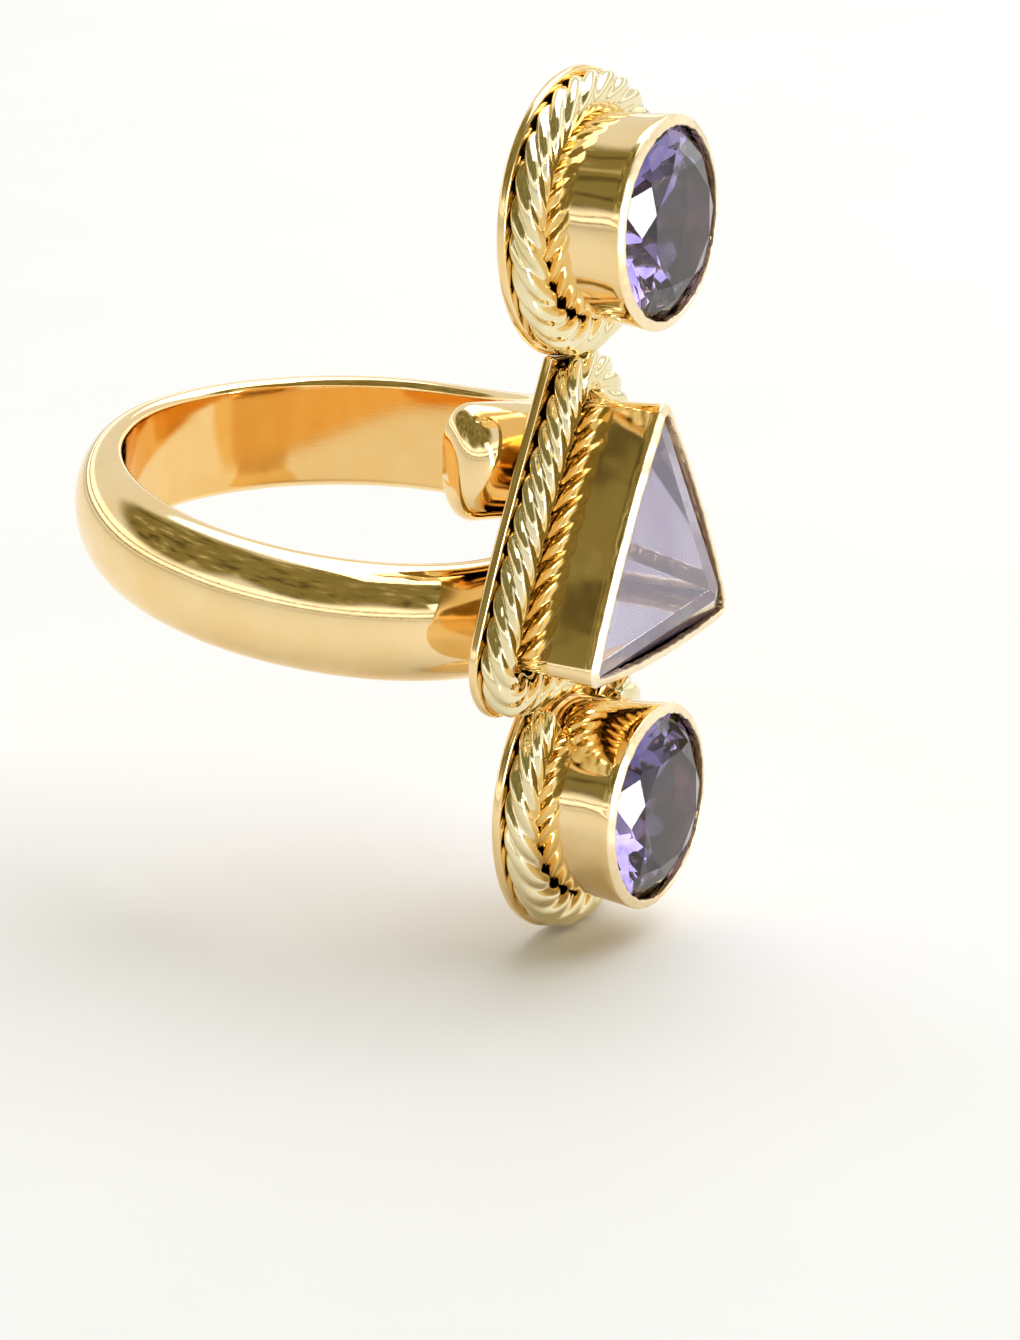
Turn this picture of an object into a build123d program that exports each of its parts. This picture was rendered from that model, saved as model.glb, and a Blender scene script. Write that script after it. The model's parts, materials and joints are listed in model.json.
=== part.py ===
"""Cocktail ring: three bezel-set stones in a row on an open bypass shank.

Frame: the origin is the centre of the finger bore. +X points from the finger to the head,
+Z runs along the finger and along the row of stones, and +Y goes across the finger.
Every size is in millimetres and every angle in degrees, counted from +X towards +Y.
"""
from build123d import *
import os
from math import atan, cos, degrees, radians, sin, sqrt

os.makedirs("parts", exist_ok=True)

# Shank: an open band of D-shaped wire whose two ends pass each other behind the centre stone
FINGER_RADIUS = 8.85
BAND_THICKNESS = 2.05
BAND_WIDTH = 4.9
BAND_EDGE = 0.4              # rounding between the flat inside and the sides
BORE_FINISH = 0.06           # depth reamed from the inside to leave a true round bore
FAR_END_ANGLE = -30.0        # the upper arm's free end
NEAR_END_ANGLE = 391.0       # the lower arm's free end, one turn on
SECTION_STEP = 15.0
ARM_SHIFT = 3.47             # how far each arm moves along the finger to pass the other
FAR_BEND = (90.0, -41.0)     # angles where the upper arm's shift starts and is complete
NEAR_BEND = (175.0, 360.0)   # the same for the lower arm
# Free ends are domed: (degrees from the end, share of the full section)
END_DOME = ((0.0, 0.4), (0.6, 0.58), (1.8, 0.76), (4.0, 0.9), (8.0, 1.0))

# Head: every setting stands on its own backplate
PLATE_REAR = 10.77           # X of the backplates' rear faces
PLATE_THICKNESS = 0.4
PLATE_FRONT = PLATE_REAR + PLATE_THICKNESS
WALL_HEIGHT = 4.17           # backplate front to the shoulder where the rim turns in
BEZEL_FLARE = 0.27           # how much wider a bezel is at the rim than at its foot
BEZEL_WALL = 0.3
LIP_RISE = 0.2               # the burnished rim's height above the shoulder
LIP_LEAN = 0.38              # how far in its top edge leans
LIP_EDGE = 0.05              # width of its top edge
LIP_SEAT = 0.31              # depth below the shoulder where the inside starts to close in
LIP_UNDERSIDE = 0.15         # depth below the shoulder of the rim's inner edge
ROPE_WIDTH = 1.55            # across the backplate
ROPE_HEIGHT = 1.2            # off the backplate
ROPE_INSET = 0.17            # backplate showing outside the rope
FIT_GAP = 0.02               # clearance between neighbouring pieces
TOP_CENTRE = 13.13           # Z of the three settings
MIDDLE_CENTRE = -0.94
BOTTOM_CENTRE = -11.24

# Round settings
RIM_RADIUS = 4.3
FOOT_RADIUS = RIM_RADIUS - BEZEL_FLARE
ROUND_PLATE_RADIUS = 5.8
BOTTOM_ROPE_OPENING = 36.0   # half angle where the lower rope stops against the centre one

# Centre setting: a triangle with bowed sides and softly rounded corners
TRIANGLE_CORNER_REACH = 7.2  # centre to the sharp corner of the rim
TRIANGLE_SIDE_REACH = 3.98   # centre to the middle of a side of the rim
TRIANGLE_CORNER_RADIUS = 0.7
TRIANGLE_PLATE_MARGIN = 1.88 # backplate beyond the rim

# Round stones: brilliant cut
STONE_RADIUS = 3.94
GIRDLE_HEIGHT = 3.72         # backplate front to the underside of the girdle
GIRDLE_THICKNESS = 0.16
TABLE_HEIGHT = 0.94          # above the girdle
MAIN_ANGLE = 32.0
STAR_ANGLE = 18.0
UPPER_GIRDLE_ANGLE = 38.0
PAVILION_ANGLE = 38.5
LOWER_GIRDLE_ANGLE = 40.5
MAIN_FACETS = 8
STONE_TURN = 20.0            # how far the round stones are turned in their bezels

# Centre stone: a three-sided pyramid over a shallow pavilion
APEX_HEIGHT = 2.7            # above the shoulder, before the ridges are ground
APEX_DROP = 0.8              # the point sits this far below the stone's middle
RIDGE_CUT = 0.25             # depth ground off the ridges at the point, fading to the corners
PYRAMID_GIRDLE = 3.61        # backplate front to the underside of the girdle
PYRAMID_GIRDLE_THICKNESS = 0.15
PYRAMID_PAVILION_DEPTH = 2.9
PYRAMID_INSET = 0.4          # stone's edge inside the shoulder
CORNER_CUT_RISE = 0.15       # height above the girdle where a ridge facet meets the corner

# Bearings: the inner rings that the stones rest on, their tops cut to the stones
BEARING_WALL = 0.42


def head_plane(height, centre):
    """Plane across the head: local x is +Y, local y is +Z, and it looks along +X."""
    return Plane(origin=(height, 0, centre), x_dir=(0, 1, 0), z_dir=(1, 0, 0))


def radial_plane(centre):
    """Plane through a setting's axis: local x is the radius, local y the height above the plate."""
    return Plane(origin=(PLATE_FRONT, 0, centre), x_dir=(0, 1, 0), z_dir=(0, 0, -1))


def setting_axis(centre):
    return Axis((PLATE_FRONT, 0, centre), (1, 0, 0))


def smooth_step(t):
    t = min(max(t, 0.0), 1.0)
    return t * t * (3 - 2 * t)


def band_height(angle):
    """Z of the band's middle: level at the back, the two arms parting towards the head."""
    rise = smooth_step((FAR_BEND[0] - angle) / (FAR_BEND[0] - FAR_BEND[1]))
    fall = smooth_step((angle - NEAR_BEND[0]) / (NEAR_BEND[1] - NEAR_BEND[0]))
    return ARM_SHIFT * (rise - fall)


def band_section(angle, share):
    """D profile of the band, flat against the finger, at a share of its full size."""
    turn = radians(angle)
    radial = (cos(turn), sin(turn), 0)
    plane = Plane(origin=(0, 0, band_height(angle)), x_dir=radial, z_dir=(sin(turn), -cos(turn), 0))
    inner = FINGER_RADIUS - BORE_FINISH
    shoulder = FINGER_RADIUS + BAND_EDGE
    half = share * BAND_WIDTH / 2
    dome = share * (BAND_THICKNESS - BAND_EDGE)
    flat = half - BAND_EDGE - BORE_FINISH
    corner = BAND_EDGE + BORE_FINISH
    with BuildSketch(plane) as section:
        with BuildLine():
            Line((inner, -flat), (inner, flat))
            CenterArc((shoulder, flat), corner, 90, 90)
            EllipticalCenterArc((shoulder, 0), dome, half, start_angle=-90, arc_size=180)
            CenterArc((shoulder, -flat), corner, 180, 90)
        make_face()
    return section.sketch


def triangle_outline(grow):
    """The centre setting's rim outline, grown or shrunk by an offset, as a flat sketch."""
    with BuildSketch() as outline:
        with BuildLine():
            for side in range(3):
                start, middle, end = (radians(90 + 120 * side + step) for step in (0, 60, 120))
                ThreePointArc((TRIANGLE_CORNER_REACH * cos(start), TRIANGLE_CORNER_REACH * sin(start)),
                              (TRIANGLE_SIDE_REACH * cos(middle), TRIANGLE_SIDE_REACH * sin(middle)),
                              (TRIANGLE_CORNER_REACH * cos(end), TRIANGLE_CORNER_REACH * sin(end)))
        make_face()
        fillet(outline.vertices(), TRIANGLE_CORNER_RADIUS)
        if grow:
            offset(amount=grow)
    return outline.sketch


def save(piece, name):
    piece.part.label = name
    export_step(piece.part, f"parts/{name}.step")


def cut_facets(azimuths, angle, radius, height, centre, up):
    """Grind facets around a setting's axis, each through (radius, height) at its azimuth from +Z."""
    for azimuth in azimuths:
        around = radians(azimuth)
        lean = radians(angle)
        out = Vector(0, sin(around), cos(around))
        normal = Vector(up * cos(lean), 0, 0) + out * sin(lean)
        spot = Vector(PLATE_FRONT + height, 0, centre) + out * radius
        split(bisect_by=Plane(origin=spot, z_dir=normal), keep=Keep.BOTTOM)


# ---- Shank
far_full = FAR_END_ANGLE + END_DOME[-1][0]
near_full = NEAR_END_ANGLE - END_DOME[-1][0]
section_count = round((near_full - far_full) / SECTION_STEP)
section_step = (near_full - far_full) / section_count
sections = [(FAR_END_ANGLE + turn, share) for turn, share in END_DOME]
sections += [(far_full + section_step * index, 1.0) for index in range(1, section_count)]
sections += [(NEAR_END_ANGLE - turn, share) for turn, share in reversed(END_DOME)]

with BuildPart() as shank:
    for angle, share in sections:
        add(band_section(angle, share))
    loft()
    Cylinder(FINGER_RADIUS, 4 * BAND_WIDTH, mode=Mode.SUBTRACT)
    # Flat filed on both arms where the centre backplate is soldered on
    split(bisect_by=Plane(origin=(PLATE_REAR, 0, 0), z_dir=(1, 0, 0)), keep=Keep.BOTTOM)
save(shank, "shank")

# ---- Backplates
plate_outline = triangle_outline(TRIANGLE_PLATE_MARGIN)
plate_clearance = triangle_outline(TRIANGLE_PLATE_MARGIN + FIT_GAP)
plate_side = TRIANGLE_SIDE_REACH + TRIANGLE_PLATE_MARGIN
tip_foot = (plate_side * sqrt(3) / 2, plate_side / 2)

with BuildPart() as centre_backplate:
    with BuildSketch(head_plane(PLATE_REAR, MIDDLE_CENTRE)):
        add(plate_outline)
        # The tip runs on straight until it meets the round plate above
        with BuildLine():
            Polyline(tip_foot, (0, 2 * plate_side), (-tip_foot[0], tip_foot[1]), close=True)
        make_face()
        with Locations((0, TOP_CENTRE - MIDDLE_CENTRE)):
            Circle(ROUND_PLATE_RADIUS + FIT_GAP, mode=Mode.SUBTRACT)
    extrude(amount=PLATE_THICKNESS)
save(centre_backplate, "centre_backplate")

with BuildPart() as top_backplate:
    with BuildSketch(head_plane(PLATE_REAR, TOP_CENTRE)):
        Circle(ROUND_PLATE_RADIUS)
    extrude(amount=PLATE_THICKNESS)
save(top_backplate, "top_backplate")

with BuildPart() as bottom_backplate:
    with BuildSketch(head_plane(PLATE_REAR, BOTTOM_CENTRE)):
        Circle(ROUND_PLATE_RADIUS)
        # Filed away where the centre plate lies against it
        with Locations((0, MIDDLE_CENTRE - BOTTOM_CENTRE)):
            add(plate_clearance, mode=Mode.SUBTRACT)
    extrude(amount=PLATE_THICKNESS)
save(bottom_backplate, "bottom_backplate")

# ---- Round settings
rope_ring_radius = ROUND_PLATE_RADIUS - ROPE_INSET - ROPE_WIDTH / 2
inner_lip = BEZEL_WALL + FIT_GAP
inner_edge = LIP_LEAN + LIP_EDGE
lip_seat = WALL_HEIGHT - LIP_SEAT
lip_underside = WALL_HEIGHT - LIP_UNDERSIDE
lip_top = WALL_HEIGHT + LIP_RISE
bearing_radius = FOOT_RADIUS - BEZEL_WALL - FIT_GAP

for name, centre, opening in (("top", TOP_CENTRE, 0.0), ("bottom", BOTTOM_CENTRE, BOTTOM_ROPE_OPENING)):
    with BuildPart() as bezel:
        with BuildSketch(radial_plane(centre)):
            with BuildLine():
                Polyline((FOOT_RADIUS - BEZEL_WALL, 0), (FOOT_RADIUS, 0), (RIM_RADIUS, WALL_HEIGHT),
                         (RIM_RADIUS - LIP_LEAN, lip_top), (RIM_RADIUS - inner_edge, lip_top),
                         (RIM_RADIUS - inner_edge, lip_underside), (RIM_RADIUS - inner_lip, lip_seat),
                         close=True)
            make_face()
        revolve(axis=setting_axis(centre))
    save(bezel, f"{name}_bezel")

    with BuildPart() as stone:
        with BuildSketch(head_plane(PLATE_FRONT, centre)):
            Circle(STONE_RADIUS)
        extrude(amount=GIRDLE_HEIGHT + GIRDLE_THICKNESS + TABLE_HEIGHT)
        crown_foot = GIRDLE_HEIGHT + GIRDLE_THICKNESS
        table = crown_foot + TABLE_HEIGHT
        mains = [STONE_TURN + 360 / MAIN_FACETS * k for k in range(MAIN_FACETS)]
        stars = [azimuth + 180 / MAIN_FACETS for azimuth in mains]
        halves = [STONE_TURN + 180 / MAIN_FACETS * (k + 0.5) for k in range(2 * MAIN_FACETS)]
        half_radius = STONE_RADIUS * cos(radians(90 / MAIN_FACETS))
        corner_radius = STONE_RADIUS - TABLE_HEIGHT / sin(radians(MAIN_ANGLE)) * cos(radians(MAIN_ANGLE))
        cut_facets(mains, MAIN_ANGLE, STONE_RADIUS, crown_foot, centre, 1)
        cut_facets(halves, UPPER_GIRDLE_ANGLE, half_radius, crown_foot, centre, 1)
        cut_facets(stars, STAR_ANGLE, corner_radius * cos(radians(180 / MAIN_FACETS)), table, centre, 1)
        cut_facets(mains, PAVILION_ANGLE, STONE_RADIUS, GIRDLE_HEIGHT, centre, -1)
        cut_facets(halves, LOWER_GIRDLE_ANGLE, half_radius, GIRDLE_HEIGHT, centre, -1)
    save(stone, f"{name}_stone")

    with BuildPart() as bearing:
        with BuildSketch(head_plane(PLATE_FRONT, centre)):
            Circle(bearing_radius)
            Circle(bearing_radius - BEARING_WALL, mode=Mode.SUBTRACT)
        extrude(amount=GIRDLE_HEIGHT)
        add(stone.part, mode=Mode.SUBTRACT)
    save(bearing, f"{name}_bearing")

    with BuildPart() as rope:
        with BuildSketch(radial_plane(centre)):
            with Locations((rope_ring_radius, ROPE_HEIGHT / 2)):
                Ellipse(ROPE_WIDTH / 2, ROPE_HEIGHT / 2)
        revolve(axis=setting_axis(centre))
        if opening:
            reach = 2 * rope_ring_radius
            with BuildSketch(head_plane(PLATE_FRONT - FIT_GAP, centre)):
                with BuildLine():
                    Polyline((0, 0), (reach * sin(radians(opening)), reach * cos(radians(opening))),
                             (-reach * sin(radians(opening)), reach * cos(radians(opening))), close=True)
                make_face()
            extrude(amount=ROPE_HEIGHT + 2 * FIT_GAP, mode=Mode.SUBTRACT)
    save(rope, f"{name}_rope")

# ---- Centre setting
inner_foot = BEZEL_FLARE + BEZEL_WALL
bezel_walls = (
    (Mode.ADD, 0, BEZEL_FLARE, WALL_HEIGHT, 0),
    (Mode.ADD, WALL_HEIGHT, 0, lip_top, LIP_LEAN),
    (Mode.SUBTRACT, 0, inner_foot, lip_seat, inner_lip),
    (Mode.SUBTRACT, lip_seat, inner_lip, lip_underside, inner_edge),
    (Mode.SUBTRACT, lip_underside, inner_edge, lip_top, inner_edge),
)
with BuildPart() as centre_bezel:
    for mode, low, low_inset, high, high_inset in bezel_walls:
        for height, inset in ((low, low_inset), (high, high_inset)):
            with BuildSketch(head_plane(PLATE_FRONT + height, MIDDLE_CENTRE)):
                add(triangle_outline(-inset))
        loft(mode=mode)
save(centre_bezel, "centre_bezel")

edge_reach = TRIANGLE_SIDE_REACH - PYRAMID_INSET
crown_foot = PYRAMID_GIRDLE + PYRAMID_GIRDLE_THICKNESS
with BuildPart() as centre_stone:
    with BuildSketch(head_plane(PLATE_FRONT, MIDDLE_CENTRE)):
        add(triangle_outline(-PYRAMID_INSET))
    extrude(amount=WALL_HEIGHT + APEX_HEIGHT)
    apex = Vector(PLATE_FRONT + WALL_HEIGHT + APEX_HEIGHT, 0, MIDDLE_CENTRE - APEX_DROP)
    pavilion_angle = degrees(atan(PYRAMID_PAVILION_DEPTH / edge_reach))
    for azimuth in (60, 180, 300):
        out = Vector(0, sin(radians(azimuth)), cos(radians(azimuth)))
        edge = Vector(PLATE_FRONT + crown_foot, 0, MIDDLE_CENTRE) + out * edge_reach
        slope = Vector((edge - apex).dot(out), 0, 0) + out * (apex.X - edge.X)
        split(bisect_by=Plane(origin=edge, z_dir=slope), keep=Keep.BOTTOM)
        cut_facets([azimuth], pavilion_angle, edge_reach, PYRAMID_GIRDLE, MIDDLE_CENTRE, -1)
    # The ridges are ground to narrow facets, from the point down to the corners
    corner_reach = triangle_outline(-PYRAMID_INSET).bounding_box().max.Y
    for azimuth in (0, 120, 240):
        out = Vector(0, sin(radians(azimuth)), cos(radians(azimuth)))
        corner = Vector(PLATE_FRONT + crown_foot + CORNER_CUT_RISE, 0, MIDDLE_CENTRE) + out * corner_reach
        ridge = apex - Vector(RIDGE_CUT, 0, 0) - corner
        inward = Vector(0, ridge.Y, ridge.Z)
        upright = Vector(inward.length, 0, 0) - inward.normalized() * ridge.X
        split(bisect_by=Plane(origin=corner, z_dir=upright), keep=Keep.BOTTOM)
save(centre_stone, "centre_stone")

with BuildPart() as centre_bearing:
    with BuildSketch(head_plane(PLATE_FRONT, MIDDLE_CENTRE)):
        add(triangle_outline(-inner_foot - FIT_GAP))
        add(triangle_outline(-inner_foot - FIT_GAP - BEARING_WALL), mode=Mode.SUBTRACT)
    extrude(amount=PYRAMID_GIRDLE)
    add(centre_stone.part, mode=Mode.SUBTRACT)
save(centre_bearing, "centre_bearing")

rope_offset = TRIANGLE_PLATE_MARGIN - ROPE_INSET - ROPE_WIDTH / 2
rope_plane = head_plane(PLATE_FRONT + ROPE_HEIGHT / 2, MIDDLE_CENTRE)
with BuildPart() as centre_rope:
    with BuildSketch(rope_plane, mode=Mode.PRIVATE) as rope_route:
        add(triangle_outline(rope_offset))
    route = rope_route.sketch.faces()[0].outer_wire()
    with BuildSketch(Plane(origin=route @ 0, x_dir=(1, 0, 0), z_dir=route % 0)):
        Ellipse(ROPE_HEIGHT / 2, ROPE_WIDTH / 2)
    sweep(path=route)
save(centre_rope, "centre_rope")
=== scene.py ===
import json
import math

import bmesh
import bpy
from mathutils import Matrix, Vector, noise


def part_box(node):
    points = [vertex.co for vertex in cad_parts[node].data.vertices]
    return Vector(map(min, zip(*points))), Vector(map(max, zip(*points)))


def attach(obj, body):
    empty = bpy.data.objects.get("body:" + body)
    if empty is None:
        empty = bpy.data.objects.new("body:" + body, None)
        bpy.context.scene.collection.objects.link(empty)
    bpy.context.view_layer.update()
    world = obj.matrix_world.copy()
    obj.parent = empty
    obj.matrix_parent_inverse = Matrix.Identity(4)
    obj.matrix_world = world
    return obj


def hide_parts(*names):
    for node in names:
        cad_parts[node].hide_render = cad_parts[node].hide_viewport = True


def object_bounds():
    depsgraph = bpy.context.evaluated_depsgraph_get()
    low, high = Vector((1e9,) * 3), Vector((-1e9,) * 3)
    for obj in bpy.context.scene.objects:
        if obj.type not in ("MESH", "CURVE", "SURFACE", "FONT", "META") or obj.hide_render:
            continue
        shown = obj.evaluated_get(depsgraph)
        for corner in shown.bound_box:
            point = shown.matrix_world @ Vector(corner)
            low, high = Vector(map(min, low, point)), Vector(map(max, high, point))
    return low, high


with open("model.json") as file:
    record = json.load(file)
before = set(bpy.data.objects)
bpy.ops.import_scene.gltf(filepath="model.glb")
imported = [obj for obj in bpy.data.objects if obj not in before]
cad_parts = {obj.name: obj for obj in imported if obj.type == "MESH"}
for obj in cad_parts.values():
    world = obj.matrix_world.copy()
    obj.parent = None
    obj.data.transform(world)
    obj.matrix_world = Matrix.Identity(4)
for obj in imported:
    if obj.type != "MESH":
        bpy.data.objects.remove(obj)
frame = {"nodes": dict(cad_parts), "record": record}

cad_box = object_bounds()
MM = 0.001

# Shank, in millimetres, as in the CAD model
BORE_RADIUS = frame["record"]["mounts"][0]["dims"]["r_mm"]
BAND_THICKNESS = 2.05
BAND_WIDTH = 4.9
BAND_EDGE = 0.4
FAR_END_ANGLE = -30.0
NEAR_END_ANGLE = 391.0
ARM_SHIFT = 3.47
FAR_BEND = (90.0, -41.0)
NEAR_BEND = (175.0, 360.0)
END_DOME_TURN = 8.0

# Head
BEZEL_FLARE = 0.27
BEZEL_WALL = 0.3
LIP_RISE = 0.2
LIP_LEAN = 0.38
LIP_EDGE = 0.05
LIP_SEAT = 0.31
CORNER_REACH = 7.2
SIDE_REACH = 3.98
CORNER_RADIUS = 0.7
PLATE_MARGIN = 1.88
ROPE_WIDTH = 1.55
ROPE_INSET = 0.17

# Rope border: strands twisted together, their grooves softened by casting
STRANDS = 4
ROUND_TWISTS = 6
TRIANGLE_TWISTS = 9
ROPE_SPREAD = 0.14           # how far the strands bulge past the rope's even width
FOOT_FULLNESS = 0.3          # power that keeps the rope wide down to where it is soldered
STRAND_FULLNESS = 0.8        # power that rounds a strand's crest
TWIST_WANDER = 0.3           # radians by which the twist drifts along the rope
STRAND_UNEVENNESS = 0.03     # as a share of the rope's half width
ROPE_STEP = 0.11
ROPE_SIDES = 44
GROOVE = 0.31                # depth of a groove as a share of the rope's half width
BOTTOM_ROPE_OPENING = 36.0

# Shank surface
BAND_SECTIONS = 220          # along the band between its domed ends
END_SHARE = 0.36             # the section at the very end, as a share of the full one
END_ROUNDNESS = 2.6
BAND_UNEVENNESS = 0.0012
PLATE_CLEARANCE = 0.004

# Bezel surface
WALL_STEPS = 12
WALL_HOLLOW = 0.03           # how far the wall bows in between foot and rim
SHOULDER_DROP = 0.07
RIM_BAND = 0.5               # height below the shoulder where the rim's unevenness fades in
# Burnished rim, as (offset from the rim's outline, height above the shoulder)
RIM_PROFILE = ((0.0, -0.05), (-0.015, -0.015), (-0.06, 0.02), (-0.14, 0.068), (-0.22, 0.11), (-0.30, 0.152),
               (-0.35, 0.175), (-0.39, 0.18), (-0.42, 0.155), (-LIP_LEAN - LIP_EDGE, 0.08),
               (-LIP_LEAN - LIP_EDGE, -0.13), (-BEZEL_WALL - 0.02, -LIP_SEAT))

# Outlines
ROUND_POINTS = 240
TRIANGLE_SPACING = 0.16

# Copied solids: edge easing in millimetres, angles in degrees
PLATE_EASING = 0.15
PLATE_SHARP = 25
ROUND_STONE_EASING = 0.02
CENTRE_STONE_EASING = 0.05
FACET_ANGLE = 3.0
RIDGE_FACING = 0.86          # X of the normal above which a face is one of the ground ridges

# Materials: noise scales are per metre, bump depths in metres, ranges are shares of the roughness
DRIFT_SCALE = 420.0
HAIR_SCALE = 1500.0
HAIR_STRETCH = (1.0, 1.0, 14.0)
SMEAR_SCALE = 700.0
GOLD_GLOSS = (0.5, 1.7)
MARK_SCALE = 2500.0
MARK_DEPTH = 0.0000006
STONE_GLOSS = (0.3, 1.8)
STONE_IOR = 1.6

FLOOR_REACH = 1.5
PAPER_DARK = (0.86, 0.865, 0.885)
PAPER_LIGHT = (0.90, 0.905, 0.925)
PAPER_ROUGHNESS = 0.75


def middle(node):
    """Middle of a CAD node in millimetres."""
    low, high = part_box(node)
    return (low + high) / 2 / MM


def extent(node):
    """Size of a CAD node in millimetres."""
    low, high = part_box(node)
    return (high - low) / MM


PLATE_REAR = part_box("centre_backplate")[0].x / MM
PLATE_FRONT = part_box("centre_backplate")[1].x / MM
WALL_HEIGHT = extent("top_bezel").x - LIP_RISE
ROPE_HEIGHT = extent("top_rope").x
RIM_RADIUS = extent("top_bezel").y / 2
ROUND_PLATE_RADIUS = extent("top_backplate").y / 2
TOP_Z = middle("top_bezel").z
BOTTOM_Z = middle("bottom_bezel").z
CENTRE_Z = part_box("centre_bezel")[0].z / MM + SIDE_REACH


# ---------------------------------------------------------------- materials
def nodes_of(name):
    """A new material, its node tree and its shader."""
    material = bpy.data.materials.new(name)
    material.use_nodes = True
    tree = material.node_tree
    return material, tree, tree.nodes["Principled BSDF"]


def add(tree, kind, **settings):
    """A new node with its inputs, or else its properties, set by name."""
    node = tree.nodes.new(kind)
    for key, value in settings.items():
        if key in node.inputs:
            node.inputs[key].default_value = value
        else:
            setattr(node, key, value)
    return node


def ramp(tree, source, stops):
    """Colours a value by stops of (place, colour)."""
    node = tree.nodes.new("ShaderNodeValToRGB")
    points = node.color_ramp.elements
    for index, (place, colour) in enumerate(stops):
        point = points[index] if index < 2 else points.new(place)
        point.position = place
        point.color = (*colour, 1.0)
    tree.links.new(source, node.inputs["Fac"])
    return node.outputs["Color"]


def spread(tree, source, low, high):
    """Maps a 0 to 1 value to a range."""
    node = add(tree, "ShaderNodeMapRange")
    node.inputs["To Min"].default_value = low
    node.inputs["To Max"].default_value = high
    tree.links.new(source, node.inputs["Value"])
    return node.outputs["Result"]


def gold(name, light, deep, rough, dents, dent_scale, scratches):
    """Polished yellow gold with faint colour drift, hairline scratches and soft waves."""
    material, tree, shader = nodes_of(name)
    links = tree.links
    place = tree.nodes.new("ShaderNodeTexCoord").outputs["Object"]
    drift = add(tree, "ShaderNodeTexNoise", Scale=DRIFT_SCALE, Detail=3.0, Roughness=0.6)
    links.new(place, drift.inputs["Vector"])
    tone = ramp(tree, drift.outputs["Fac"], ((0.3, deep), (0.7, light)))
    links.new(tone, shader.inputs["Base Color"])
    stretch = add(tree, "ShaderNodeMapping")
    stretch.inputs["Scale"].default_value = HAIR_STRETCH
    links.new(place, stretch.inputs["Vector"])
    hair = add(tree, "ShaderNodeTexNoise", Scale=HAIR_SCALE, Detail=5.0, Roughness=0.7)
    links.new(stretch.outputs["Vector"], hair.inputs["Vector"])
    smear = add(tree, "ShaderNodeTexNoise", Scale=SMEAR_SCALE, Detail=4.0, Roughness=0.65)
    links.new(place, smear.inputs["Vector"])
    gloss = spread(tree, smear.outputs["Fac"], rough * GOLD_GLOSS[0], rough * GOLD_GLOSS[1])
    links.new(gloss, shader.inputs["Roughness"])
    wave = add(tree, "ShaderNodeTexNoise", Scale=dent_scale, Detail=1.0, Roughness=0.4)
    links.new(place, wave.inputs["Vector"])
    coarse = add(tree, "ShaderNodeBump", Strength=1.0, Distance=dents)
    links.new(wave.outputs["Fac"], coarse.inputs["Height"])
    fine = add(tree, "ShaderNodeBump", Strength=1.0, Distance=scratches)
    links.new(hair.outputs["Fac"], fine.inputs["Height"])
    links.new(coarse.outputs["Normal"], fine.inputs["Normal"])
    links.new(fine.outputs["Normal"], shader.inputs["Normal"])
    shader.inputs["Metallic"].default_value = 1.0
    return material


def gem(name, pale, deep, rough, zone_scale, clouds):
    """Cut stone with colour zones and fine polish marks; clouds is the share that isn't clear."""
    material, tree, shader = nodes_of(name)
    links = tree.links
    place = tree.nodes.new("ShaderNodeTexCoord").outputs["Object"]
    zones = add(tree, "ShaderNodeTexNoise", Scale=zone_scale, Detail=2.0, Roughness=0.5,
                Distortion=0.6)
    links.new(place, zones.inputs["Vector"])
    tone = ramp(tree, zones.outputs["Fac"], ((0.35, deep), (0.65, pale)))
    links.new(tone, shader.inputs["Base Color"])
    marks = add(tree, "ShaderNodeTexNoise", Scale=MARK_SCALE, Detail=4.0, Roughness=0.7)
    links.new(place, marks.inputs["Vector"])
    gloss = spread(tree, marks.outputs["Fac"], rough * STONE_GLOSS[0], rough * STONE_GLOSS[1])
    links.new(gloss, shader.inputs["Roughness"])
    polish = add(tree, "ShaderNodeBump", Strength=1.0, Distance=MARK_DEPTH)
    links.new(marks.outputs["Fac"], polish.inputs["Height"])
    links.new(polish.outputs["Normal"], shader.inputs["Normal"])
    shader.inputs["IOR"].default_value = STONE_IOR
    shader.inputs["Transmission Weight"].default_value = 1.0 - clouds
    return material


LIGHT_GOLD = (0.98, 0.76, 0.42)
DEEP_GOLD = (0.95, 0.68, 0.32)
band_gold = gold("band_gold", LIGHT_GOLD, DEEP_GOLD,
                 rough=0.045, dents=0.000026, dent_scale=260.0, scratches=0.0000008)
wall_gold = gold("wall_gold", LIGHT_GOLD, DEEP_GOLD,
                 rough=0.05, dents=0.000030, dent_scale=380.0, scratches=0.0000008)
plate_gold = gold("plate_gold", LIGHT_GOLD, DEEP_GOLD,
                  rough=0.10, dents=0.000016, dent_scale=700.0, scratches=0.0000012)
rope_gold = gold("rope_gold", (0.94, 0.83, 0.55), (0.80, 0.68, 0.38),
                 rough=0.07, dents=0.000014, dent_scale=1500.0, scratches=0.000001)
# Deeper, darker orange gold for the bore: painted reflection of gold on gold and painted shade inside the
# band
bore_gold_painted_reflection = gold("bore_gold_painted_reflection", (0.93, 0.62, 0.25), (0.89, 0.55, 0.19),
                 rough=0.06, dents=0.000012, dent_scale=260.0, scratches=0.000001)
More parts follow.
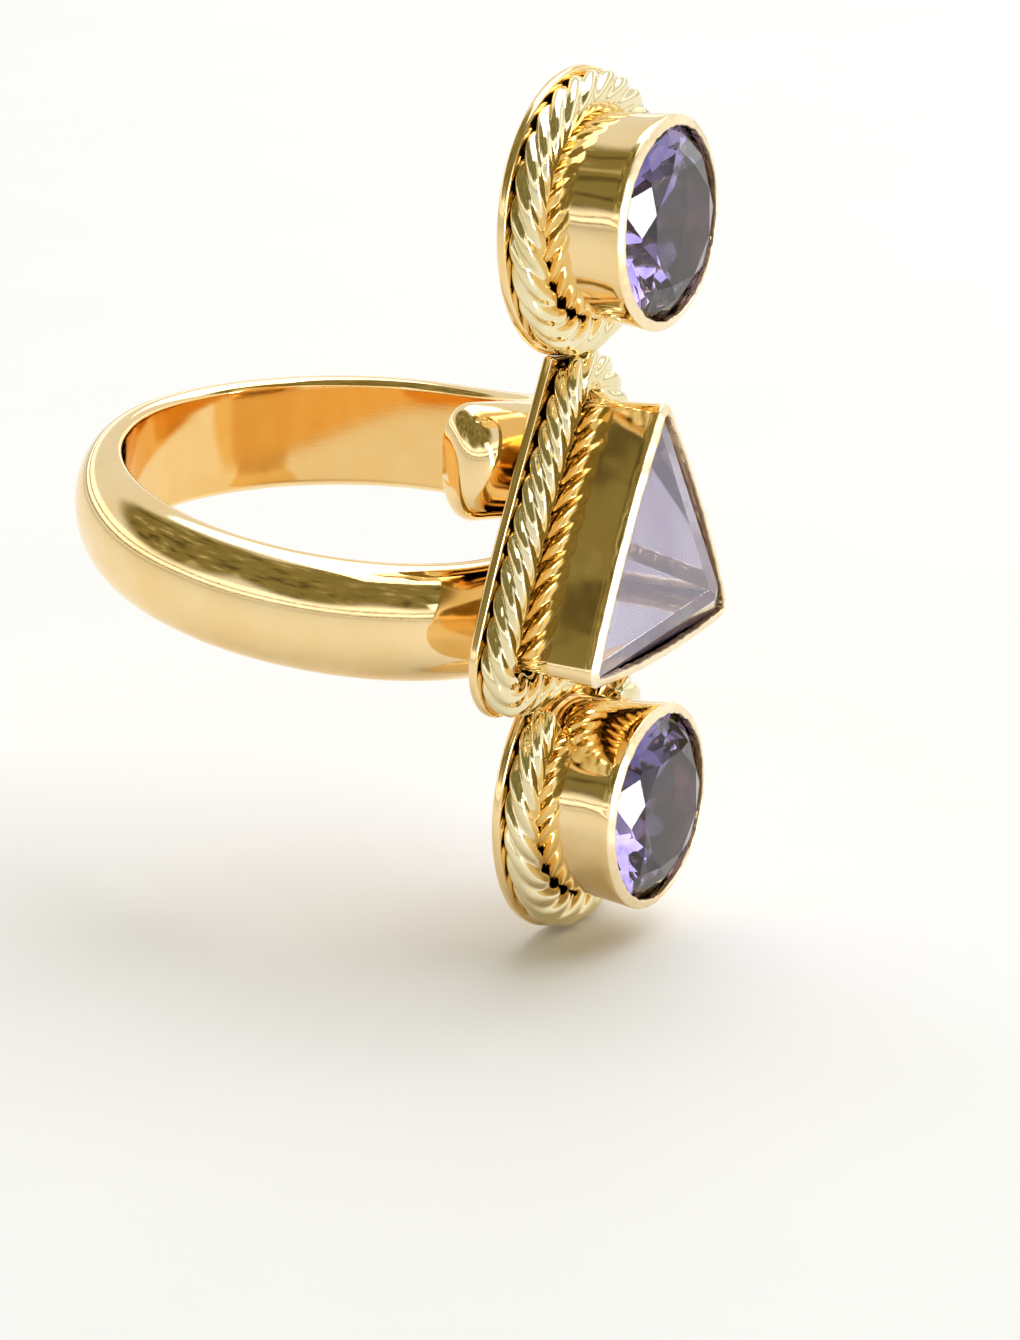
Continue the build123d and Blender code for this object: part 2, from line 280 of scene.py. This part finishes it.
# Rougher burnished gold for the bezel rims, its colour paler and lighter as a painted highlight
rim_burnish_and_painted_highlight_gold = gold("rim_burnish_and_painted_highlight_gold", (0.98, 0.85, 0.62), (0.92, 0.72, 0.42),
                rough=0.28, dents=0.00006, dent_scale=1300.0, scratches=0.000004)
inner_gold = gold("inner_gold", LIGHT_GOLD, DEEP_GOLD,
                  rough=0.2, dents=0.00001, dent_scale=900.0, scratches=0.000001)
amethyst = gem("amethyst", (0.52, 0.42, 0.80), (0.15, 0.12, 0.38),
               rough=0.02, zone_scale=420.0, clouds=0.0)
pale_amethyst = gem("pale_amethyst", (0.74, 0.68, 0.84), (0.54, 0.48, 0.68),
                    rough=0.05, zone_scale=330.0, clouds=0.2)
ground_stone = gem("ground_stone", (0.80, 0.76, 0.88), (0.66, 0.61, 0.78),
                   rough=0.17, zone_scale=900.0, clouds=0.32)


# ---------------------------------------------------------------- mesh helpers
def piece(name, points, faces, material, stands_for):
    """A smooth mesh object from points in millimetres, on the root body."""
    mesh = bpy.data.meshes.new(name)
    mesh.from_pydata([tuple(MM * c for c in p) for p in points], [], faces)
    mesh.validate()
    obj = bpy.data.objects.new(name, mesh)
    bpy.context.scene.collection.objects.link(obj)
    finish_piece(obj, material, stands_for, True)
    return obj


def finish_piece(obj, material, stands_for, smooth):
    """Gives a piece its material, shading and outward normals, and its place in the frame."""
    obj.data.materials.clear()
    obj.data.materials.append(material)
    for polygon in obj.data.polygons:
        polygon.use_smooth = smooth
    bm = bmesh.new()
    bm.from_mesh(obj.data)
    bmesh.ops.recalc_face_normals(bm, faces=bm.faces)
    bm.to_mesh(obj.data)
    bm.free()
    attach(obj, "root")
    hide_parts(*stands_for)


def second_material(obj, material, chosen):
    """Gives the faces that pass a test a second material."""
    obj.data.materials.append(material)
    for polygon in obj.data.polygons:
        if chosen(polygon):
            polygon.material_index = 1


def grid_faces(rows, columns, close_rows):
    """Quads over rows of points; each row is a closed ring of columns points."""
    faces = []
    for i in range(rows if close_rows else rows - 1):
        for j in range(columns):
            a, b = i * columns, ((i + 1) % rows) * columns
            k = (j + 1) % columns
            faces.append((a + j, a + k, b + k, b + j))
    return faces


def rough_value(x, y, z, scale, seed):
    """Smooth noise between -1 and 1."""
    return noise.noise(Vector((x * scale + seed, y * scale - seed, z * scale + 2 * seed)))


# ---------------------------------------------------------------- outlines across the head
def circle_outline(radius, centre, count):
    """Points and outward directions of a circle, as (y, z) pairs, from +Z towards -Y."""
    outline = []
    for i in range(count):
        turn = 2 * math.pi * i / count
        out = Vector((-math.sin(turn), math.cos(turn)))
        outline.append((Vector((0, centre)) + radius * out, out))
    return outline


def arc_through(start, mid, end):
    """Centre and radius of the circle through three points."""
    ax, ay = start
    bx, by = mid
    cx, cy = end
    a2, b2, c2 = ax * ax + ay * ay, bx * bx + by * by, cx * cx + cy * cy
    d = 2 * (ax * (by - cy) + bx * (cy - ay) + cx * (ay - by))
    ux = (a2 * (by - cy) + b2 * (cy - ay) + c2 * (ay - by)) / d
    uy = (a2 * (cx - bx) + b2 * (ax - cx) + c2 * (bx - ax)) / d
    centre = Vector((ux, uy))
    return centre, (Vector(start) - centre).length


def ring_of(radius, degrees):
    """Points at a distance from the middle, one for each direction."""
    return [radius * Vector((math.cos(math.radians(a)), math.sin(math.radians(a)))) for a in degrees]


def along_bisector(direction, side_centre, distance):
    """The point on a corner's bisector that lies a distance from a side's centre."""
    b = direction.dot(side_centre)
    return (b + math.sqrt(b * b - side_centre.length_squared + distance * distance)) * direction


def arc_steps(centre, radius, start, end, steps_for):
    """Points and outward directions round an arc, without its last one."""
    first, last = math.atan2(start.y, start.x), math.atan2(end.y, end.x)
    sweep = (last - first) % (2 * math.pi)
    steps = steps_for(radius * sweep)
    outline = []
    for i in range(steps):
        a = first + sweep * i / steps
        out = Vector((math.cos(a), math.sin(a)))
        outline.append((centre + radius * out, out))
    return outline


def triangle_outline(spacing):
    """The centre rim's three bowed sides and rounded corners, as points and outward directions."""
    corners = ring_of(CORNER_REACH, (90, 210, 330))
    middles = ring_of(SIDE_REACH, (150, 270, 30))
    sides = [arc_through(corners[k], middles[k], corners[(k + 1) % 3]) for k in range(3)]
    side_radius = sides[0][1]
    # each corner's rounding lies inside both neighbouring side circles
    offset = side_radius - CORNER_RADIUS
    outline = []
    for k in range(3):
        before, side_centre = sides[(k + 2) % 3][0], sides[k][0]
        round_centre = along_bisector(corners[k].normalized(), before, offset)
        start = (round_centre - before).normalized()
        end = (round_centre - side_centre).normalized()
        outline += arc_steps(round_centre, CORNER_RADIUS, start, end,
                             lambda length: max(6, round(length / spacing * 2.5)))
        next_centre = along_bisector(corners[(k + 1) % 3].normalized(), side_centre, offset)
        stop = (next_centre - side_centre).normalized()
        outline += arc_steps(side_centre, side_radius, end, stop,
                             lambda length: round(length / spacing))
    return [(point + Vector((0, CENTRE_Z)), out) for point, out in outline]


# ---------------------------------------------------------------- shank
def smooth_step(t):
    """0 to 1 with flat ends."""
    t = min(max(t, 0.0), 1.0)
    return t * t * (3 - 2 * t)


def band_height(angle):
    """Z of the band's middle: level at the back, the two arms parting towards the head."""
    rise = smooth_step((FAR_BEND[0] - angle) / (FAR_BEND[0] - FAR_BEND[1]))
    fall = smooth_step((angle - NEAR_BEND[0]) / (NEAR_BEND[1] - NEAR_BEND[0]))
    return ARM_SHIFT * (rise - fall)


def band_profile(share):
    """D section as (radius, height) pairs, flat side towards the finger."""
    half = share * BAND_WIDTH / 2
    dome = share * (BAND_THICKNESS - BAND_EDGE)
    flat = half - BAND_EDGE
    shoulder = BORE_RADIUS + BAND_EDGE
    profile = []
    for i in range(9):
        profile.append((BORE_RADIUS, -flat + 2 * flat * i / 8))
    for i in range(1, 9):
        a = math.radians(180 - 90 * i / 8)
        profile.append((shoulder + BAND_EDGE * math.cos(a), flat + BAND_EDGE * math.sin(a)))
    for i in range(1, 32):
        a = math.radians(90 - 180 * i / 32)
        profile.append((shoulder + dome * math.cos(a), half * math.sin(a)))
    for i in range(0, 8):
        a = math.radians(-90 - 90 * i / 8)
        profile.append((shoulder + BAND_EDGE * math.cos(a), -flat + BAND_EDGE * math.sin(a)))
    return profile


def build_shank():
    """The open band: D sections round the finger, closing to a dome at both ends."""
    angles = []
    angle = 0.0
    while angle < END_DOME_TURN:
        angles.append(angle)
        angle += 0.12 + 0.16 * angle
    turns = [FAR_END_ANGLE + a for a in angles]
    first, last = FAR_END_ANGLE + END_DOME_TURN, NEAR_END_ANGLE - END_DOME_TURN
    turns += [first + (last - first) * i / BAND_SECTIONS for i in range(BAND_SECTIONS + 1)]
    turns += [NEAR_END_ANGLE - a for a in reversed(angles)]
    points = []
    for turn in turns:
        gap = min(turn - FAR_END_ANGLE, NEAR_END_ANGLE - turn)
        t = min(gap / END_DOME_TURN, 1.0)
        share = END_SHARE + (1 - END_SHARE) * math.sqrt(1 - (1 - t) ** END_ROUNDNESS)
        a = math.radians(turn)
        for radius, height in band_profile(share):
            bump = rough_value(radius * math.cos(a), radius * math.sin(a), height, 0.35, 3.0)
            soft = 1 + BAND_UNEVENNESS * bump
            r = radius * soft if radius > BORE_RADIUS + 0.01 else radius
            x = min(r * math.cos(a), PLATE_REAR - PLATE_CLEARANCE)
            points.append((x, r * math.sin(a), band_height(turn) + height))
    columns = len(band_profile(1.0))
    faces = grid_faces(len(turns), columns, False)
    faces.append(tuple(range(columns)))
    faces.append(tuple(reversed(range(len(points) - columns, len(points)))))
    band = piece("shank_band", points, faces, band_gold, ["shank"])
    bore = (BORE_RADIUS + 0.02) * MM
    # the inside faces get the deeper gold, a painted reflection and painted shade
    second_material(band, bore_gold_painted_reflection, lambda face: Vector(face.center.xy).length < bore)


# ---------------------------------------------------------------- head pieces
def bezel_profile():
    """Wall section from outer foot over the rim to inner foot, as (offset from the rim, height)."""
    profile = []
    for i in range(WALL_STEPS):
        t = i / WALL_STEPS
        offset = -BEZEL_FLARE * (1 - t) - WALL_HOLLOW * math.sin(math.pi * t)
        profile.append((offset, (WALL_HEIGHT - SHOULDER_DROP) * t))
    profile += [(offset, WALL_HEIGHT + rise) for offset, rise in RIM_PROFILE]
    profile.append((-BEZEL_WALL - BEZEL_FLARE, 0.0))
    return profile


def build_bezel(name, outline, seed):
    """A bezel wall, burnished a little unevenly round its rim, the rim's colour painted lighter as a
    highlight.
    """
    profile = bezel_profile()
    points = []
    for point, out in outline:
        for offset, height in profile:
            near_rim = smooth_step((height - WALL_HEIGHT + RIM_BAND) / RIM_BAND)
            inside = smooth_step((-offset - 0.15) / 0.2)
            y, z = point
            wobble = 0.010 * rough_value(y, z, height, 1.1, seed)
            wobble += 0.022 * near_rim * rough_value(y, z, 0, 2.6, seed + 5)
            wobble += 0.06 * near_rim * inside * rough_value(y, z, 0, 2.8, seed + 9)
            lift = -0.035 * near_rim * (0.5 + 0.5 * rough_value(y, z, 0, 2.2, seed + 2))
            widest = 0.0 if height > 2 else offset + 0.02
            place = point + min(offset + wobble, widest) * out
            points.append((PLATE_FRONT + height + lift, place.x, place.y))
    faces = grid_faces(len(outline), len(profile), True)
    wall = piece(f"{name}_bezel_wall", points, faces, wall_gold, [f"{name}_bezel"])
    # faces above the shoulder get the rougher burnished gold, painted lighter as a highlight
    shoulder = (PLATE_FRONT + WALL_HEIGHT - 0.03) * MM
    second_material(wall, rim_burnish_and_painted_highlight_gold, lambda face: face.center.x > shoulder)


def strand_path(outline, inset):
    """Closed middle line of a rope with arc lengths."""
    line = [(point + inset * out, out) for point, out in outline]
    lengths = [0.0]
    for i in range(len(line)):
        lengths.append(lengths[-1] + (line[(i + 1) % len(line)][0] - line[i][0]).length)
    return line, lengths


def along(line, lengths, s):
    """Point and outward direction at arc length s."""
    total = lengths[-1]
    s %= total
    low, high = 0, len(lengths) - 1
    while high - low > 1:
        mid = (low + high) // 2
        if lengths[mid] <= s:
            low = mid
        else:
            high = mid
    t = (s - lengths[low]) / (lengths[low + 1] - lengths[low])
    a, b = line[low], line[(low + 1) % len(line)]
    return a[0].lerp(b[0], t), a[1].lerp(b[1], t).normalized()


def build_rope(name, outline, inset, twists, opening, seed):
    """Twisted strands laid round a bezel's foot, with an opening of so many degrees each side."""
    line, lengths = strand_path(outline, inset)
    total = lengths[-1]
    start, stop = total * opening / 360, total * (1 - opening / 360)
    closed = opening == 0
    steps = round((stop - start) / ROPE_STEP)
    rows = steps if closed else steps + 1
    half_width = (ROPE_WIDTH + ROPE_SPREAD) / 2
    half_height = ROPE_HEIGHT / 2
    points = []
    for i in range(rows):
        s = start + (stop - start) * i / steps
        centre, out = along(line, lengths, s)
        twist = 2 * math.pi * twists * s / total
        twist += TWIST_WANDER * rough_value(centre.x, centre.y, 0, 0.45, seed)
        for j in range(ROPE_SIDES):
            a = 2 * math.pi * j / ROPE_SIDES
            strand = abs(math.cos(STRANDS / 2 * (a - twist))) ** STRAND_FULLNESS
            uneven = STRAND_UNEVENNESS * rough_value(centre.x, centre.y, a, 1.3, seed)
            reach = 1 - GROOVE * (1 - strand) + uneven
            height = half_height * (1 + reach * math.sin(a))
            side = math.cos(a)
            if math.sin(a) < 0:
                side = math.copysign(abs(side) ** FOOT_FULLNESS, side)
            across = half_width * reach * side
            place = centre + across * out
            points.append((PLATE_FRONT + max(height, 0.002), place.x, place.y))
    faces = grid_faces(rows, ROPE_SIDES, closed)
    if not closed:
        faces.append(tuple(range(ROPE_SIDES)))
        faces.append(tuple(reversed(range(len(points) - ROPE_SIDES, len(points)))))
    piece(f"{name}_rope_wires", points, faces, rope_gold, [f"{name}_rope"])


def copy_node(node, name, material, bevel, segments, smooth, sharp=30.0):
    """A copy of a CAD solid with its flat faces merged and its edges eased."""
    mesh = frame["nodes"][node].data.copy()
    mesh.name = name
    if mesh.has_custom_normals:
        mesh.attributes.remove(mesh.attributes["custom_normal"])
    obj = bpy.data.objects.new(name, mesh)
    bpy.context.scene.collection.objects.link(obj)
    bm = bmesh.new()
    bm.from_mesh(mesh)
    bmesh.ops.remove_doubles(bm, verts=bm.verts, dist=0.000002)
    bmesh.ops.dissolve_limit(bm, angle_limit=math.radians(0.8), verts=bm.verts, edges=bm.edges)
    edges = [e for e in bm.edges
             if len(e.link_faces) == 2 and e.calc_face_angle(0) > math.radians(sharp)]
    bmesh.ops.bevel(bm, geom=edges, offset=bevel * MM, segments=segments, profile=0.5,
                    affect="EDGES", clamp_overlap=True)
    # easing corners where many facets meet leaves flaps of no area
    bmesh.ops.dissolve_degenerate(bm, dist=0.001 * MM, edges=bm.edges)
    bm.to_mesh(mesh)
    bm.free()
    finish_piece(obj, material, [node], smooth)
    return obj


build_shank()
top_circle = circle_outline(RIM_RADIUS, TOP_Z, ROUND_POINTS)
bottom_circle = circle_outline(RIM_RADIUS, BOTTOM_Z, ROUND_POINTS)
triangle = triangle_outline(TRIANGLE_SPACING)
build_bezel("top", top_circle, 11.0)
build_bezel("bottom", bottom_circle, 23.0)
build_bezel("centre", triangle, 31.0)

round_inset = ROUND_PLATE_RADIUS - ROPE_INSET - ROPE_WIDTH / 2 - RIM_RADIUS
build_rope("top", top_circle, round_inset, ROUND_TWISTS, 0.0, 2.0)
build_rope("bottom", bottom_circle, round_inset, ROUND_TWISTS, BOTTOM_ROPE_OPENING, 4.0)
triangle_inset = PLATE_MARGIN - ROPE_INSET - ROPE_WIDTH / 2
build_rope("centre", triangle, triangle_inset, TRIANGLE_TWISTS, 0.0, 6.0)

for place in ("top", "centre", "bottom"):
    plate = copy_node(f"{place}_backplate", f"{place}_plate", plate_gold,
                      PLATE_EASING, 4, True)
    plate.data.set_sharp_from_angle(angle=math.radians(PLATE_SHARP))
    bearing = frame["nodes"][f"{place}_bearing"]
    bearing.data.materials.clear()
    bearing.data.materials.append(inner_gold)
for place, stone_material, stone_slot, easing in (
        ("top", amethyst, "amethyst", ROUND_STONE_EASING),
        ("bottom", amethyst, "amethyst", ROUND_STONE_EASING),
        ("centre", pale_amethyst, "pale_amethyst", CENTRE_STONE_EASING)):
    stone = copy_node(f"{place}_stone", f"{place}_gem", stone_material,
                      easing, 2, False, FACET_ANGLE)
    if place == "centre":
        second_material(stone, ground_stone, lambda face: face.normal.x > RIDGE_FACING)


# ---------------------------------------------------------------- floor
floor_z = cad_box[0].z
floor_mesh = bpy.data.meshes.new("floor")
corners = ((-1, -1), (1, -1), (1, 1), (-1, 1))
floor_mesh.from_pydata([(FLOOR_REACH * x, FLOOR_REACH * y, floor_z) for x, y in corners],
                       [], [(0, 1, 2, 3)])
floor = bpy.data.objects.new("floor", floor_mesh)
bpy.context.scene.collection.objects.link(floor)
paper, tree, shader = nodes_of("paper")
floor_place = tree.nodes.new("ShaderNodeTexCoord").outputs["Object"]
mottle = add(tree, "ShaderNodeTexNoise", Scale=14.0, Detail=5.0, Roughness=0.6)
tree.links.new(floor_place, mottle.inputs["Vector"])
tone = ramp(tree, mottle.outputs["Fac"], ((0.3, PAPER_DARK), (0.7, PAPER_LIGHT)))
tree.links.new(tone, shader.inputs["Base Color"])
shader.inputs["Roughness"].default_value = PAPER_ROUGHNESS
floor.data.materials.append(paper)


# ---------------------------------------------------------------- light
def area_light(name, location, target, size, power):
    """A white rectangular lamp that faces a point."""
    lamp = bpy.data.lights.new(name, "AREA")
    lamp.shape = "RECTANGLE"
    lamp.size, lamp.size_y = size
    lamp.energy = power
    obj = bpy.data.objects.new(name, lamp)
    bpy.context.scene.collection.objects.link(obj)
    obj.location = location
    obj.rotation_mode = "QUATERNION"
    obj.rotation_quaternion = (Vector(target) - Vector(location)).to_track_quat("-Z", "Y")
    return obj


area_light("window", (0.10, 0.25, 0.55), (0, 0, 0), size=(0.8, 0.6), power=3.2)
# these two show only as reflections on the stones' facets
side_lamp = area_light("side_lamp", (0.15, -0.001, 0.008), (0.016, -0.001, 0.008),
                       size=(0.018, 0.05), power=0.051)
upper_lamp = area_light("upper_lamp", (0.45, -0.055, 0.13), (0.015, 0, 0),
                        size=(0.12, 0.06), power=0.04)
for lamp in (side_lamp, upper_lamp):
    lamp.visible_diffuse = False

world = bpy.data.worlds.new("room")
bpy.context.scene.world = world
world.use_nodes = True
tree = world.node_tree
background = tree.nodes["Background"]
direction = tree.nodes.new("ShaderNodeTexCoord").outputs["Generated"]


def toward(vector, low, high):
    """1 around a direction, falling to 0 between two cosines."""
    unit = Vector(vector).normalized()
    dot = add(tree, "ShaderNodeVectorMath", operation="DOT_PRODUCT")
    tree.links.new(direction, dot.inputs[0])
    dot.inputs[1].default_value = unit
    step = add(tree, "ShaderNodeMapRange", interpolation_type="SMOOTHSTEP")
    step.inputs["From Min"].default_value = low
    step.inputs["From Max"].default_value = high
    tree.links.new(dot.outputs["Value"], step.inputs["Value"])
    return step.outputs["Result"]


def blend_colour(factor, a, b):
    """Colour a where the factor is 0, turning to colour b where it is 1."""
    node = tree.nodes.new("ShaderNodeMix")
    node.data_type = "RGBA"
    node.blend_type = "MIX"
    tree.links.new(factor, node.inputs["Factor"])
    tree.links.new(a, node.inputs["A"])
    tree.links.new(b, node.inputs["B"])
    return node.outputs["Result"]


DARK_ROOM = (0.27, 0.235, 0.09)
DARKEST_ROOM = (0.12, 0.10, 0.04)
LIT_ROOM = (0.55, 0.50, 0.30)
PALE_ROOM = (0.93, 0.94, 0.93)
SHADE = (0.30, 0.24, 0.15)
BRIGHT = (1.7, 1.7, 1.68)
axes = add(tree, "ShaderNodeSeparateXYZ")
tree.links.new(direction, axes.inputs["Vector"])
level = add(tree, "ShaderNodeMapRange")
level.inputs["From Max"].default_value = 0.4
tree.links.new(axes.outputs["Z"], level.inputs["Value"])
sky = ramp(tree, level.outputs["Result"],
           ((0.0, PALE_ROOM), (0.06, PALE_ROOM), (0.09, SHADE), (0.13, SHADE),
            (0.16, BRIGHT), (0.30, BRIGHT), (0.33, SHADE), (0.36, SHADE),
            (0.40, BRIGHT), (0.58, BRIGHT), (0.70, PALE_ROOM), (1.0, PALE_ROOM)))
clutter = add(tree, "ShaderNodeTexNoise", Scale=7.0, Detail=3.0, Roughness=0.6)
tree.links.new(direction, clutter.inputs["Vector"])
dark = ramp(tree, clutter.outputs["Fac"],
            ((0.36, DARKEST_ROOM), (0.46, DARK_ROOM), (0.58, DARK_ROOM), (0.66, LIT_ROOM)))
# dark parts of the room, as (direction, cosine at the outer edge, cosine at the inner edge)
for patch in (((-0.46, -0.50, 0.73), 0.76, 0.88),
              ((0.30, -0.60, 0.74), 0.77, 0.87),
              ((0.73, -0.17, 0.66), 0.83, 0.92)):
    sky = blend_colour(toward(*patch), sky, dark)
tree.links.new(sky, background.inputs["Color"])
background.inputs["Strength"].default_value = 0.9


# ---------------------------------------------------------------- camera
CAMERA_PLACE = Vector((95.103, -155.554, 52.375)) * MM
CAMERA_BACK = Vector((0.46231, -0.82923, 0.31408)).normalized()
CAMERA_ROLL = math.radians(0.537)
CAMERA_LENS = 121.785
camera_data = bpy.data.cameras.new("camera")
camera = bpy.data.objects.new("camera", camera_data)
bpy.context.scene.collection.objects.link(camera)
right = Vector((-CAMERA_BACK.y, CAMERA_BACK.x, 0)).normalized()
up = CAMERA_BACK.cross(right)
right, up = (math.cos(CAMERA_ROLL) * right + math.sin(CAMERA_ROLL) * up,
             -math.sin(CAMERA_ROLL) * right + math.cos(CAMERA_ROLL) * up)
basis = Matrix((right, up, CAMERA_BACK)).transposed().to_4x4()
camera.matrix_world = Matrix.Translation(CAMERA_PLACE) @ basis
camera_data.sensor_width = 36.0
camera_data.lens = CAMERA_LENS
camera_data.clip_start = 0.005
camera_data.clip_end = 20.0
bpy.context.scene.camera = camera
bpy.context.scene.view_settings.view_transform = "Standard"
